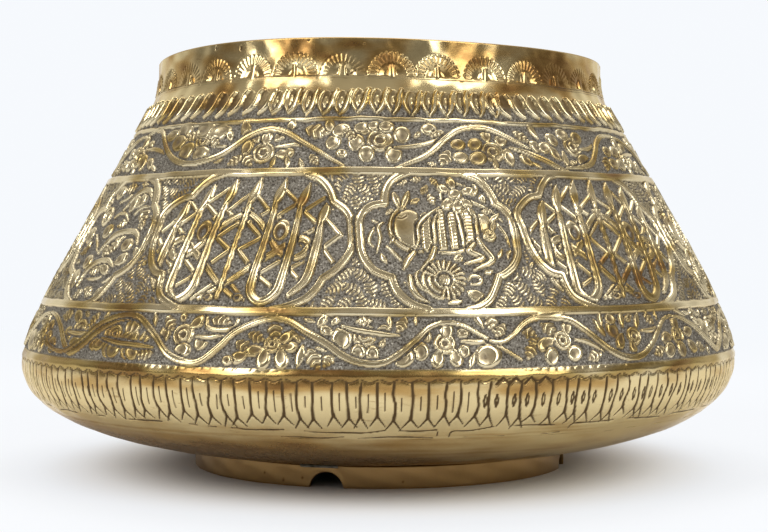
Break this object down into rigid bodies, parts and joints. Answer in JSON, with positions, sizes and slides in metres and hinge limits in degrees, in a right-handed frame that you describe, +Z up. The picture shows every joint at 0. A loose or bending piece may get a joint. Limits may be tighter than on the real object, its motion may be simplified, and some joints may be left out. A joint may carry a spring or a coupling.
{
  "type": "footed bowl",
  "caption": "Wide-bellied brass bowl on a low foot ring, its cone-shaped wall chased in raised bands of panels, scrolling stems and leaves below a short neck.",
  "frame": {"origin": "on the surface the bowl stands on, under the middle of the foot ring", "axes": "+Z up along the bowl's axis, -Y towards the side that the picture shows, +X to the right of that view"},
  "size_m": [0.2494, 0.2498, 0.141],
  "materials": {
    "body_brass": "chased brass, bright on the raised lines, dark grey patina in the stippled ground",
    "foot_brass": "satin brass with a warm brown tarnish",
    "solder": "dull grey solder"
  },
  "bodies": {
    "root": {"vessel_body": "body_brass", "foot_ring": "foot_brass", "foot_ring_seam": "solder", "foot_solder": "solder", "foot_solder_run": "solder"}
  },
  "joints": []
}
